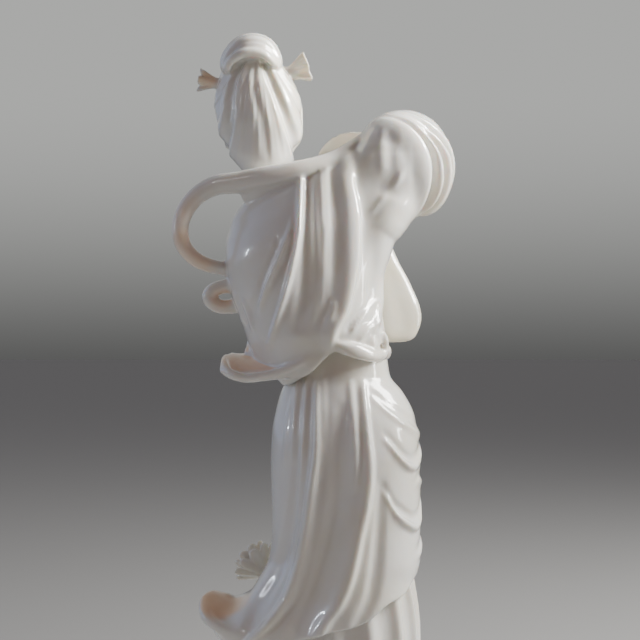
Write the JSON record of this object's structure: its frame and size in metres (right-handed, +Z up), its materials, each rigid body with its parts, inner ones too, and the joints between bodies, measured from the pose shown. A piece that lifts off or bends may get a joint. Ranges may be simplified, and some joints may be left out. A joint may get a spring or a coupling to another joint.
{
  "type": "guanyin figurine",
  "caption": "Standing porcelain figure in a pleated cape and trailing robe, head bowed, right sleeve raised, scarf looped at the left, on a low oval wave plinth.",
  "frame": {"origin": "centre of the plinth's flat underside", "axes": "+Z up along the figure's height, -Y the way it faces, +X its left side"},
  "size_m": [0.1247, 0.0928, 0.3594],
  "materials": {
    "glazed_porcelain": "clear glossy glaze over ivory white body, unglazed underside"
  },
  "bodies": {
    "root": {"guanyin_figurine": "glazed_porcelain"}
  },
  "joints": []
}
